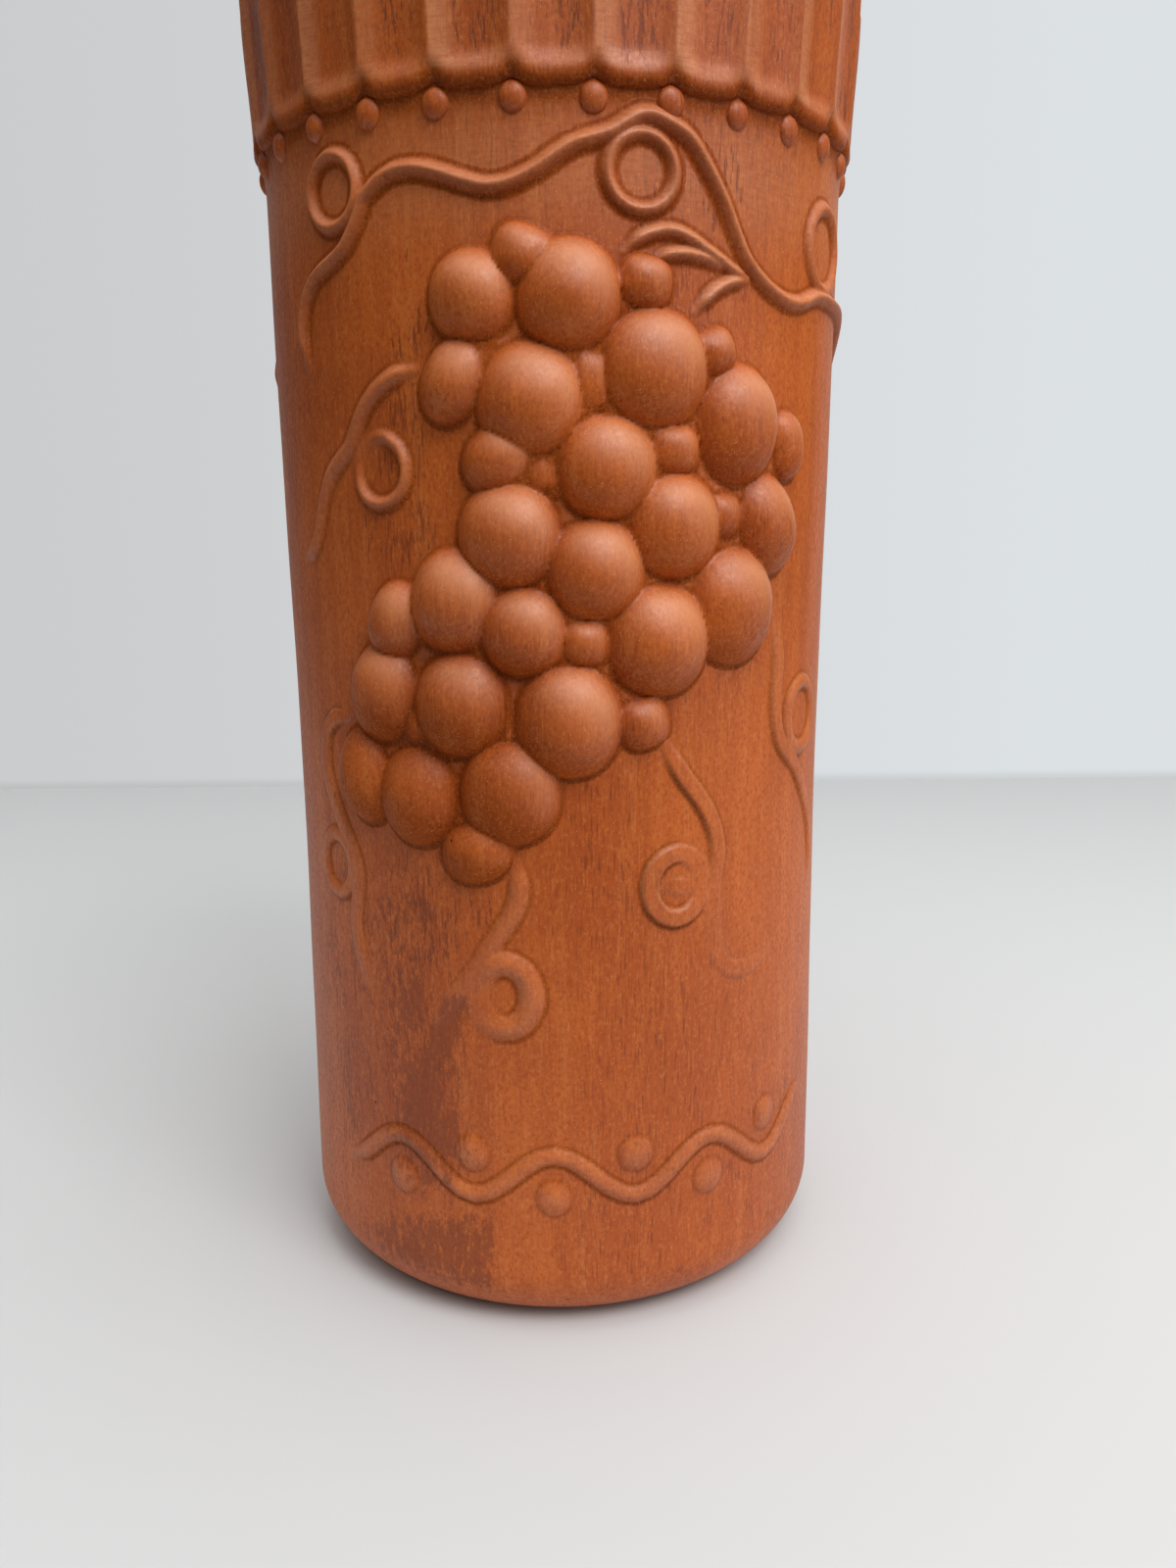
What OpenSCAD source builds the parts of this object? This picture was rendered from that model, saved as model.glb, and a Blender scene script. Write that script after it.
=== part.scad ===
// Terracotta wine crock: a tall straight cooler that a bottle stands in.
// It is one fired piece of clay. Each module below is one of the bodies of soft clay
// that the maker forms and lutes together before the firing, set face to face.
// Millimetres, +Z up, origin at the middle of the foot, the first bunch of grapes
// faces -Y. Angles on the wall run from that front towards +X.

/* [Body] */
// Height from the foot to the top of the rim
crock_h = 254; // [230:1:280]
// Diameter over the plain wall
wall_d = 111; // [104:1:124]
// Thickness of the wall round the well
wall_t = 8; // [6:0.5:10]
// Thickness of the floor inside
floor_t = 10; // [7:0.5:12]
// Radius of the rounded bottom corner
corner_r = 12.5; // [11:0.5:15]
// Straight part of the base above its rounded corner
base_rise = 1.5; // [1:0.5:4]
// Width of the ring that the crock stands on
foot_w = 4; // [3:0.5:6]
// Depth of the recess inside the foot ring
recess_h = 1.5; // [1:0.25:3]

/* [Rim and collar] */
// Height of the plain rim above the collar
rim_h = 5.5; // [5:0.5:9]
// How far the rim stands out past the wall
rim_out = 1; // [0.5:0.25:2]
// Radius along both edges of the rim
rim_round = 2.5; // [1.5:0.25:3]
// Height of the fluted collar
collar_h = 30; // [24:1:34]
// How far the collar stands out at its lower edge
collar_out = 2.6; // [2:0.1:3.5]
// How much further it stands out near the top
collar_flare = 1.1; // [0:0.1:2]
// Number of flutes round the collar
flutes = 28; // [22:1:32]
// Depth of the hollow of each flute below the ridges beside it
flute_depth = 1; // [0.5:0.1:1.4]
// How far the lower edge rises to each ridge
scallop_h = 1.4; // [1:0.1:2.4]
// Radius of a bead under the collar
bead_r = 2.3; // [1.6:0.1:2.4]
// How far a bead stands out
bead_out = 1.6; // [1:0.1:2]
// Space between a bead and the collar above it
bead_gap = 0.3; // [0.2:0.1:1]

/* [Grapes] */
// Radius of the largest berry where it meets the wall
berry_r = 10; // [9:0.25:10.5]
// How far the largest berry stands out from the wall
berry_out = 6; // [4:0.25:7]

/* [Vines] */
// Width of the main vine
vine_w = 3.2; // [2.6:0.1:3.8]
// How far the main vine stands out
vine_out = 1.6; // [1:0.1:2.2]
// Width of the tendrils and stalks
tendril_w = 2.8; // [2.4:0.1:3.2]
// How far the tendrils and stalks stand out
tendril_out = 1.2; // [0.8:0.1:1.8]
// Radius of the vine's curls, to the middle of the ridge
curl_r = 5.8; // [5:0.1:6.2]

/* [Lower border] */
// Middle height of the border
border_z = 33; // [31:1:36]
// Height of each wave of its stem
border_h = 9; // [7:1:11]
// Radius of a bud
bud_r = 3.4; // [2.6:0.1:3.6]
// How far the stem and buds stand out
border_out = 1; // [0.6:0.1:1.6]
// Number of waves in the stem, each with a bud in its hollow
waves = 7; // [4:1:8]

/* [Hidden] */
$fn = 96;

// Space that keeps a flat facet from biting into the round wall
seat = 0.06;
// How far a cutting shape runs past what it cuts
overrun = 2;
// Facets of the core that low caps are cut by, fine enough to leave their height alone
core_facets = 480;

wall_r = wall_d / 2;
well_r = wall_r - wall_t;
base_h = corner_r + base_rise;
well_round = base_h - floor_t;
foot_r = wall_r - corner_r;
wall_top = crock_h - rim_h;
collar_bottom = wall_top - collar_h;
half_flute = 180 / flutes;
bead_z = collar_bottom + scallop_h / 2 - bead_r - bead_gap;
picture_top = bead_z - bead_r;

// Steps across one flute, and where a point lies on it: -1 at the ridge on its left,
// 0 in its middle, 1 at the ridge on its right
flute_steps = 8;
function flute_place(turn) = (turn / half_flute) - 2 * round(turn / half_flute / 2);

// How far the collar stands out, as shares of its own thickness, bottom to top.
// Each row is [height share, thickness share]
collar_shares = [[0, 0.45], [0.03, 0.8], [0.1, 1], [0.5, 1], [0.88, 1], [0.95, 0.85], [1, 0.4]];

// The relief picture hangs from the row of beads and is laid out in berries, so it keeps
// its touching berries whatever the wall measures. On a crock of the usual size a point at
// [angle, height] lies at that angle, and at that share of the crock's height. Away from
// it these shares say how many of the largest berry's radii go to a degree, to the whole
// height, and at what height the beads end
across_share = 0.0969;
up_share = 25.4;
top_share = 0.844;

// Berries: [angle, height, radius as a share of the largest]
berry_shares = [
  [-14, 0.741, 0.73], [2, 0.741, 0.88], [-5.5, 0.765, 0.48], [15, 0.749, 0.44],
  [-4.5, 0.678, 0.89], [17, 0.697, 0.96], [34, 0.664, 0.92], [28, 0.709, 0.41],
  [-17.5, 0.688, 0.61], [6, 0.69, 0.44], [-10, 0.642, 0.55], [8.5, 0.635, 0.85],
  [20.5, 0.646, 0.42], [-8.5, 0.592, 0.87], [6.5, 0.57, 0.84], [21, 0.598, 0.88],
  [31, 0.605, 0.34], [42, 0.598, 0.79], [47, 0.653, 0.45], [33.5, 0.543, 0.98],
  [18.5, 0.522, 0.95], [-6, 0.53, 0.77], [4.5, 0.523, 0.39], [-18.5, 0.549, 0.84],
  [-30.5, 0.535, 0.63], [-34, 0.485, 0.82], [-18, 0.479, 0.89], [1.5, 0.469, 0.98],
  [15.5, 0.466, 0.45], [-27, 0.414, 0.85], [-39.5, 0.424, 0.75], [-9, 0.419, 0.92],
  [-15.5, 0.376, 0.63], [-26.5, 0.464, 0.35], [-2.5, 0.632, 0.33], [-13, 0.701, 0.33]];
// A berry of no size would still stand out by this share of the largest
small_out_share = 0.35;

// Routes: [angle, height]
vine_shares = [
  [-51.5, 0.703], [-51.9, 0.715], [-52.3, 0.728], [-51.6, 0.741], [-50.4, 0.751],
  [-48.5, 0.759], [-46, 0.766], [-42, 0.772], [-39, 0.778], [-36.5, 0.789], [-35, 0.798],
  [-34, 0.805], [-32, 0.811], [-30, 0.815], [-27, 0.819], [-23, 0.818], [-19, 0.814],
  [-15, 0.809], [-11, 0.805], [-7, 0.807], [-3, 0.814], [0, 0.821], [3, 0.828],
  [6, 0.832], [9, 0.834], [13, 0.836], [16.5, 0.836], [20.5, 0.835], [23.5, 0.83],
  [25.5, 0.823], [27.5, 0.813], [30, 0.799], [32, 0.786], [34, 0.774], [36, 0.765],
  [39, 0.757], [42, 0.752], [46, 0.748], [50, 0.748], [53, 0.751], [56, 0.755],
  [60, 0.757], [66, 0.757], [73, 0.756], [80, 0.75], [87, 0.737], [92, 0.718],
  [94, 0.696]];
// Curls on the vine: [angle, height, radius as a share of curl_r]
curl_shares = [[-41, 0.813, 0.97], [14.5, 0.814, 0.94], [60.5, 0.789, 1.2]];
stalk_shares = [
  [[11.5, 0.765], [14, 0.773], [17, 0.777], [20, 0.779], [23, 0.776], [26, 0.771],
    [29, 0.766], [32, 0.761], [34, 0.758]],
  [[19.5, 0.766], [22, 0.768], [25, 0.767], [28, 0.765], [32.5, 0.761]],
  [[34, 0.757], [31.5, 0.753], [28.5, 0.748], [26.5, 0.741], [24.5, 0.733]]];
tendril_shares = [
  [[-24.5, 0.698], [-27.5, 0.697], [-30, 0.693], [-33, 0.687], [-35.5, 0.678],
    [-37.5, 0.668], [-39, 0.658], [-40.5, 0.65], [-43, 0.643], [-46, 0.634], [-48, 0.623],
    [-50, 0.608], [-51.5, 0.594], [-53, 0.586], [-55, 0.58], [-57.5, 0.576]],
  [[-46, 0.463], [-49.5, 0.461], [-52.5, 0.451], [-53.5, 0.438], [-54, 0.425],
    [-53, 0.411], [-50.5, 0.396], [-48.5, 0.381], [-46, 0.368], [-44.5, 0.354],
    [-44, 0.34], [-44.5, 0.325], [-45, 0.31], [-45, 0.295], [-44, 0.281], [-42.5, 0.267]],
  [[-8.5, 0.369], [-8, 0.355], [-8, 0.341], [-9.5, 0.328], [-12, 0.316], [-14, 0.303],
    [-16, 0.29], [-18.5, 0.278], [-21, 0.265], [-23.5, 0.254]],
  [[20, 0.447], [23, 0.429], [26.5, 0.412], [29.5, 0.395], [31, 0.377], [31, 0.361],
    [30.5, 0.341], [30.5, 0.31], [32, 0.288], [34.5, 0.277], [38.5, 0.273], [42.5, 0.276],
    [45, 0.281]],
  [[47, 0.524], [47.5, 0.5], [47, 0.476], [47.5, 0.457], [49, 0.442], [51.5, 0.431],
    [55, 0.421], [58.5, 0.408], [61.5, 0.393], [64.5, 0.375], [67, 0.354], [68, 0.333],
    [67, 0.315]]];
// Curls on the tendrils: [angle, height, radius as a share of curl_r]
small_curl_shares = [
  [-32.5, 0.635, 0.94], [-51, 0.349, 0.88], [-11, 0.27, 0.95], [22, 0.347, 1],
  [58, 0.457, 1]];

// Border: where its stem starts and ends round the wall, its width, the steps in each
// wave, and how far a bud lies from the middle line as a share of half a wave's height
border_start_angle = -50;
border_end_angle = 62;
border_w_share = 0.86;
wave_steps = 8;
bud_share = 0.9;

// Steps round a curl
curl_steps = 18;
// Section of a ridge from edge to edge: [width share, height share]
ridge_shares = [[-0.5, 0], [-0.36, 0.68], [0, 1], [0.36, 0.68], [0.5, 0]];
// Length of the thin end of a ridge as a share of its width, and how thin it gets
thin_end_share = 2.5;
tip_share = 0.3;

// A point on the wall, turned to an angle and a height, standing out from the wall
function on_wall(turn, height, out) =
  [(wall_r + out) * sin(turn), -(wall_r + out) * cos(turn), height];
// Angle that a length round the wall covers
function turn_of(length) = length / wall_r * 180 / PI;
// Length round the wall that an angle covers
function length_of(turn) = turn * PI / 180 * wall_r;

// A point of the relief picture laid out flat: lengths round and up the wall
function flat_point(p) =
  [p[0] * across_share * berry_r, picture_top - (top_share - p[1]) * up_share * berry_r];
function flat_route(shares) = [for (p = shares) flat_point(p)];
// A smooth curve through the points of a flat route, with two steps to each point
function curve_point(a, b, c, d, t) =
  (2 * b + (c - a) * t + (2 * a - 5 * b + 4 * c - d) * t * t
    + (3 * b - a - 3 * c + d) * t * t * t) / 2;
function smooth(route) =
  let (last = len(route) - 1)
  concat([for (i = [0:last - 1]) each [for (t = [0, 0.5])
    curve_point(route[max(i - 1, 0)], route[i], route[i + 1], route[min(i + 2, last)], t)]],
    [route[last]]);
function ring_route(shares) =
  let (r = shares[2] * curl_r)
  [for (i = [0:curl_steps - 1]) let (turn = i * 360 / curl_steps)
    flat_point(shares) + r * [cos(turn), sin(turn)]];

// Sideways direction at a point of a flat route
function sideways(before, after) =
  let (along = (after - before) / norm(after - before)) [-along[1], along[0]];
// Distance along a flat route up to one of its points
function run(route, i) = i == 0 ? 0 : norm(route[i] - route[i - 1]) + run(route, i - 1);
function thinning(route, i, width) =
  let (end_length = thin_end_share * width,
    to_end = min(run(route, i), run(route, len(route) - 1) - run(route, i)))
  tip_share + (1 - tip_share) * sqrt(min(1, to_end / end_length));

function ridge_ring(p, side, width, out) =
  [for (s = ridge_shares) on_wall(
    turn_of(p[0] + side[0] * s[0] * width), p[1] + side[1] * s[0] * width, seat + s[1] * out)];

// A raised line on the wall that follows an open flat route and thins at both ends
module ridge(route, width, out) {
  last = len(route) - 1;
  side_n = len(ridge_shares);
  points = [for (i = [0:last]) each let (k = thinning(route, i, width))
    ridge_ring(route[i], sideways(route[max(i - 1, 0)], route[min(i + 1, last)]),
      k * width, k * out)];
  skin = [for (i = [0:last - 1]) for (j = [0:side_n - 1]) each
    let (a = i * side_n + j, b = i * side_n + (j + 1) % side_n)
    [[a, b, b + side_n], [a, b + side_n, a + side_n]]];
  caps = [for (j = [1:side_n - 2]) each
    [[0, j + 1, j], [last * side_n, last * side_n + j, last * side_n + j + 1]]];
  polyhedron(points, concat(skin, caps));
}

// A raised ring on the wall
module curl(shares, width, out) {
  route = ring_route(shares);
  n = len(route);
  side_n = len(ridge_shares);
  points = [for (i = [0:n - 1]) each
    ridge_ring(route[i], sideways(route[(i + n - 1) % n], route[(i + 1) % n]), width, out)];
  skin = [for (i = [0:n - 1]) for (j = [0:side_n - 1]) each
    let (a = i * side_n + j, b = i * side_n + (j + 1) % side_n,
      c = ((i + 1) % n) * side_n + (j + 1) % side_n, d = ((i + 1) % n) * side_n + j)
    [[a, b, c], [a, c, d]]];
  polyhedron(points, skin);
}

// A ball that meets the wall in a circle of the given radius round a flat point, and
// stands out from it
module ball_on_wall(p, radius, out) {
  ball_r = (radius * radius + out * out) / (2 * out);
  translate(on_wall(turn_of(p[0]), p[1], out - ball_r)) sphere(ball_r);
}

module wall_core() {
  cylinder(h = crock_h, r = wall_r, $fn = core_facets);
}

module well_section() {
  translate([0, floor_t]) square([well_r - well_round, crock_h]);
  translate([0, base_h]) square([well_r, crock_h]);
  translate([well_r - well_round, base_h]) circle(well_round);
}

// The slab thrown first: floor, rounded corner and foot ring
module base() {
  color("peru") rotate_extrude() difference() {
    union() {
      square([foot_r, base_h]);
      translate([0, corner_r]) square([wall_r, base_rise]);
      intersection() {
        translate([foot_r, corner_r]) circle(corner_r);
        translate([foot_r, 0]) square([corner_r, corner_r]);
      }
    }
    square([foot_r - foot_w, recess_h]);
    well_section();
  }
}

// The straight wall with the round well for the bottle
module wall() {
  color("chocolate") difference() {
    translate([0, 0, base_h]) cylinder(h = wall_top - base_h, r = wall_r);
    translate([0, 0, base_h - overrun]) cylinder(h = crock_h, r = well_r);
  }
}

// The plain lip that closes the wall, round on both edges
module rim() {
  rim_r = wall_r + rim_out;
  color("sienna") translate([0, 0, wall_top]) rotate_extrude() union() {
    translate([well_r, 0]) square([rim_r - well_r, rim_h - rim_round]);
    translate([well_r + rim_round, 0]) square([rim_r - well_r - 2 * rim_round, rim_h]);
    translate([well_r + rim_round, rim_h - rim_round]) circle(rim_round);
    translate([rim_r - rim_round, rim_h - rim_round]) circle(rim_round);
  }
}

// The band of hollow upright flutes with ridges between them, hung round the top of the wall
module fluted_collar() {
  columns = flutes * flute_steps;
  rows = len(collar_shares);
  side_n = rows + 2;
  points = [for (i = [0:columns - 1]) each
    let (turn = i * 360 / columns, across = flute_place(turn), hollow = 1 - pow(across, 2),
      rise = scallop_h * pow(abs(across), 3), low = collar_bottom + rise,
      high = wall_top - rise / 2)
    concat(
      [on_wall(turn, low, seat)],
      [for (s = collar_shares) on_wall(turn, low + s[0] * (high - low),
        seat + s[1] * (collar_out + s[0] * collar_flare - hollow * flute_depth))],
      [on_wall(turn, high, seat)])];
  skin = [for (i = [0:columns - 1]) for (j = [0:side_n - 1]) each
    let (a = i * side_n + j, b = i * side_n + (j + 1) % side_n,
      c = ((i + 1) % columns) * side_n + (j + 1) % side_n, d = ((i + 1) % columns) * side_n + j)
    [[a, b, c], [a, c, d]]];
  color("sandybrown") polyhedron(points, skin);
}

// One bead under each ridge of the collar
module collar_beads() {
  color("burlywood") difference() {
    union() {
      for (i = [0:flutes - 1])
        ball_on_wall([length_of((2 * i + 1) * half_flute), bead_z], bead_r, bead_out);
    }
    wall_core();
  }
}

module grape_bunch() {
  difference() {
    union() {
      for (b = berry_shares) ball_on_wall(flat_point(b), b[2] * berry_r,
        berry_out * (small_out_share + (1 - small_out_share) * b[2]));
    }
    wall_core();
  }
}

module vine() {
  ridge(smooth(flat_route(vine_shares)), vine_w, vine_out);
  for (c = curl_shares) curl(c, vine_w, vine_out);
}

module stalks() {
  for (s = stalk_shares) ridge(smooth(flat_route(s)), tendril_w, tendril_out);
}

module tendrils() {
  for (s = tendril_shares) ridge(smooth(flat_route(s)), tendril_w, tendril_out);
  for (c = small_curl_shares) curl(c, tendril_w, tendril_out);
}

// Where the border's stem has got to after a number of waves, round and up the wall
function border_x(wave) =
  length_of(border_start_angle + (border_end_angle - border_start_angle) * wave / waves);
function stem_z(wave) = border_z - border_h / 2 * cos(wave * 180);

// A running stem with a round bud in each hollow
module border() {
  steps = waves * wave_steps;
  stem = [for (i = [0:steps]) [border_x(i / wave_steps), stem_z(i / wave_steps)]];
  ridge(stem, border_w_share * tendril_w, border_out);
  difference() {
    union() {
      for (i = [1:waves - 1])
        ball_on_wall([border_x(i), border_z + bud_share * (border_z - stem_z(i))], bud_r,
          border_out);
    }
    wall_core();
  }
}

module front_grape_bunch() { color("firebrick") grape_bunch(); }
module back_grape_bunch() { color("brown") rotate(180) grape_bunch(); }
module front_vine() { color("tan") vine(); }
module back_vine() { color("tan") rotate(180) vine(); }
module front_stalks() { color("wheat") stalks(); }
module back_stalks() { color("wheat") rotate(180) stalks(); }
module front_tendrils() { color("lightsalmon") tendrils(); }
module back_tendrils() { color("lightsalmon") rotate(180) tendrils(); }
module front_border() { color("darksalmon") border(); }
module back_border() { color("darksalmon") rotate(180) border(); }

base();
wall();
rim();
fluted_collar();
collar_beads();
front_grape_bunch();
back_grape_bunch();
front_vine();
back_vine();
front_stalks();
back_stalks();
front_tendrils();
back_tendrils();
front_border();
back_border();
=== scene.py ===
# %% [markdown]
# # A terracotta wine crock
#
# A tall cooler of unglazed red clay. A band of soft flutes runs round its top over a row
# of beads, and grapes, vines and tendrils stand out from its wall in low relief.
#
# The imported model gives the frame: where each piece lies and how big it is. Here every
# visible surface is made again, finer, as a surface worked out with numpy. A surface is a
# function of two numbers, so a whole sheet of clay is one calculation on arrays.

# %% Load the frame
import math

import bpy
import numpy as np
from mathutils import Matrix, Vector


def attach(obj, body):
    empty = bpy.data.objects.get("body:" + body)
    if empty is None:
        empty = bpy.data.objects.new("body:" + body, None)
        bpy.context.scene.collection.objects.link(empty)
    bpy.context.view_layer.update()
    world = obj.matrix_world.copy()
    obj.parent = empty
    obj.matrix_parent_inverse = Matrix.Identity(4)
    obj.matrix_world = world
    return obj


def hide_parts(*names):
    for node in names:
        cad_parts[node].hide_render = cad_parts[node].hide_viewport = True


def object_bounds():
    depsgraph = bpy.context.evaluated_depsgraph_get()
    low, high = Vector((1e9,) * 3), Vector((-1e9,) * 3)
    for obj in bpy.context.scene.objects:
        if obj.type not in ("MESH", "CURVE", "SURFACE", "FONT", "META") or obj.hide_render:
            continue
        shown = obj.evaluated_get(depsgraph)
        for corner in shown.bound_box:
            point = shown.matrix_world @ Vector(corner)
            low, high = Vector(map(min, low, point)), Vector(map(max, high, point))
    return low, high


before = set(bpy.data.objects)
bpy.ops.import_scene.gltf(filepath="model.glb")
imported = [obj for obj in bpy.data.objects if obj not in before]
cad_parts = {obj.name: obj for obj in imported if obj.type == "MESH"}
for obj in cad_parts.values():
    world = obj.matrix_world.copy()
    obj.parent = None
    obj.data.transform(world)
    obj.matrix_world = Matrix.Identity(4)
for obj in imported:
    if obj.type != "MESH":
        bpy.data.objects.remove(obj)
cad_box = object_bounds()
cad_size = [round((b - a) * 1000, 1) for a, b in zip(*cad_box)]
print("the frame measures", cad_size, "mm")

# %% [markdown]
# ## The camera
#
# The photograph was taken from close by, with the lens a little above the middle of the
# crock and tipped down twelve degrees, so the crock narrows towards its foot. A camera at
# that place, with that lens, comes first.
# The turn to the side and the slight roll are those of a camera held by hand.

# %% Place the camera
MM = 0.001
eye_back, eye_height = 260.8 * MM, 152.5 * MM
tipped_down, turned, rolled = 0.2125, -0.0234, -0.0057      # in radians


def new_object(name, data):
    """Makes an object from its data and puts it in the scene."""
    made = bpy.data.objects.new(name, data)
    bpy.context.scene.collection.objects.link(made)
    return made


camera_data = bpy.data.cameras.new("camera")
camera_data.lens, camera_data.sensor_width = 27.79, 36
camera_data.clip_start, camera_data.clip_end = 0.01, 20
camera = new_object("camera", camera_data)
camera.matrix_world = (
    Matrix.Translation((0, -eye_back, eye_height))
    @ Matrix.Rotation(turned, 4, "Z")
    @ Matrix.Rotation(math.pi / 2 - tipped_down, 4, "X")
    @ Matrix.Rotation(rolled, 4, "Z")
)
bpy.context.scene.camera = camera
print("camera at", [round(v, 3) for v in camera.matrix_world.translation], "m")

# %% [markdown]
# ## Sheets of points
#
# Every piece below is a grid of points, rows going up and columns going round. Two small
# helpers turn such a grid into a mesh: one lists its four-sided faces, the other hands the
# arrays to Blender and keeps any marks, which are numbers from 0 to 1 that a material
# reads later, such as how deep in a crease a point lies. Angles run from the front of the
# crock towards its right, and lengths are in millimetres until the mesh is made.

# %% Helpers for grids and meshes
def grid_faces(rows, columns, wrap_rows=False, wrap_columns=False):
    """Joins each point to its neighbours: (i, j), (i, j + 1), (i + 1, j + 1), (i + 1, j).
    Where rows or columns wrap, the last one joins the first."""
    i = np.arange(rows if wrap_rows else rows - 1)[:, None]
    j = np.arange(columns if wrap_columns else columns - 1)[None, :]
    up, along = (i + 1) % rows, (j + 1) % columns
    corners = [i * columns + j, i * columns + along, up * columns + along, up * columns + j]
    return np.stack(np.broadcast_arrays(*corners), -1).reshape(-1, 4)


def put_mesh(name, points, faces, marks=None, sharp=75):
    """Makes an object from points in millimetres. Edges sharper than the angle stay crisp."""
    mesh = bpy.data.meshes.new(name)
    mesh.from_pydata((np.asarray(points).reshape(-1, 3) * MM).tolist(), [], faces)
    for key, values in (marks or {}).items():
        layer = mesh.attributes.new(key, "FLOAT", "POINT")
        layer.data.foreach_set("value", np.asarray(values, np.float32).ravel())
    mesh.polygons.foreach_set("use_smooth", np.ones(len(mesh.polygons), bool))
    mesh.set_sharp_from_angle(angle=math.radians(sharp))
    triangles = sum(len(f) - 2 for f in faces)
    print(f"{name}: {len(mesh.vertices)} points, {triangles} triangles")
    return new_object(name, mesh)


pieces_of = {"terracotta": [], "relief_clay": []}


def settle(piece, slot, *nodes):
    """Puts a finished piece under its body, hides the nodes of the frame that it stands for, and
    lists it under its finish.
    """
    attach(piece, "root")
    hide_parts(*nodes)
    pieces_of[slot].append(piece)


# %% [markdown]
# ## The wall as a function
#
# The wall isn't a perfect tube. It draws in by half a millimetre at its waist, opens a
# little under the collar, and wanders by a tenth of a millimetre, as clay does when it
# leaves its mould damp. All the pieces that lie on the wall ask this one function where
# the clay is, so nothing floats and no seam shows between them.

# %% Where the clay of the wall is
PLAIN = 55.5                       # the radius on which flat lengths are measured
OUTSIDE = 55.65                    # the wall's outer radius near the foot
WELL = 47.5                        # the radius of the well
BASE_TOP, WALL_TOP = 14, 248.5     # the wall stands between the base and the rim


def ease(x):
    """Climbs smoothly from 0 to 1 as x goes from 0 to 1: 3 x squared less 2 x cubed."""
    x = np.clip(x, 0, 1)
    return x * x * (3 - 2 * x)


def bell(x, middle, width):
    """1 in the middle, falling off on both sides: e to minus the square of the distance,
    counted in widths."""
    return np.exp(-((x - middle) / width) ** 2)


def wall_at(turn, height):
    """Radius of the plain wall: OUTSIDE, less a bell-shaped waist 0.65 deep, plus a cove that
    opens by 0.6 under the collar, plus three slow waves of a tenth or less."""
    waist = 0.65 * bell(height, 105, 55)
    cove = 0.6 * ease((height - 212) / 9)
    waves = (0.09 * np.sin(2 * turn + height / 55) + 0.06 * np.sin(5 * turn - height / 31 + 1)
             + 0.03 * np.sin(height / 6.5 + 2 * np.sin(turn)))
    return OUTSIDE - waist + cove + waves


def around(turn, height, radius):
    """Puts angle, height and radius in space, with angle 0 at the front, which faces -Y."""
    turn, height, radius = np.broadcast_arrays(turn, height, radius)
    return np.stack([radius * np.sin(turn), -radius * np.cos(turn), height], -1)


print("the wall's radius at the foot, waist and cove:",
      [round(float(wall_at(0.0, z)), 2) for z in (20.0, 105.0, 222.0)])

# %% [markdown]
# ## Damp and old skin
#
# Two things darken this clay, and neither stops at a seam. Low on its left side the crock
# has a mottled stain with one straight edge, where water has been drawn into the clay. And
# wherever nobody rubs it, beside the grapes and up under the collar, it keeps a thin brown
# skin in short upright dashes. Both cross the wall, the base and the relief, so they are
# functions too. Each piece stores their values as marks, and the clay's material breaks
# them up.

# %% Where the clay is stained
def from_front(turn):
    """The angle from the front in degrees, between -180 and 180."""
    return np.degrees((turn + math.pi) % (2 * math.pi) - math.pi)


def damp_at(turn, height):
    """Strength of the stain, the strongest of four: a low band that ends sharply 14 degrees
    left, a run that comes down from under the grapes, a blotch beside it, and faint runs."""
    degrees = from_front(turn)
    band = (0.7 * ease((-13.8 - degrees) / 0.6) * ease((degrees + 66) / 35)
            * ease((36 - height + 0.3 * degrees) / 10) * ease((height - 3) / 8))
    run_middle = -20 - 8 * np.clip((68 - height) / 18, 0, 1)
    run = (0.85 * bell(degrees, run_middle, 3.5 + 8 * np.clip((68 - height) / 30, 0, 1))
           * ease((72 - height) / 6) * ease((height - 12) / 30))
    blotch = 0.8 * bell(degrees, -31, 6) * bell(height, 65, 9)
    faint = 0.55 * bell(degrees, -33, 14) * ease((height - 34) / 20) * ease((104 - height) / 22)
    return np.maximum(np.maximum(band, run), np.maximum(blotch, faint))


def skin_at(turn, height):
    """How much old skin is left, the strongest of five: high up under the collar, a strip
    that leans over the right of the grapes, one left of them, one under them, and the far
    left low down."""
    degrees = from_front(turn)
    high = 0.15 * ease((height - 186) / 24)
    right = 0.72 * bell(degrees, 30 - 0.35 * (height - 200), 7) * bell(height, 203, 16)
    left = 0.85 * bell(degrees, -29 + 0.15 * (height - 160), 9) * bell(height, 166, 34)
    below = 0.75 * bell(degrees, -26, 17) * bell(height, 82, 18)
    far = 0.62 * bell(degrees, -50, 17) * ease((125 - height) / 45) * ease((height - 8) / 25)
    return np.max(np.broadcast_arrays(high, right, left, below, far), axis=0)


# %% [markdown]
# ## The base
#
# A thrown slab with a broad rounded corner, a narrow ring to stand on and a fine line cut
# above the ring. It is turned on a wheel, so its section, carried round a full circle, is
# the whole piece. The section runs up the outside and back down the inside, which turns
# every face outwards, and it starts and ends on the axis, where one point closes each pole.

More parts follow.
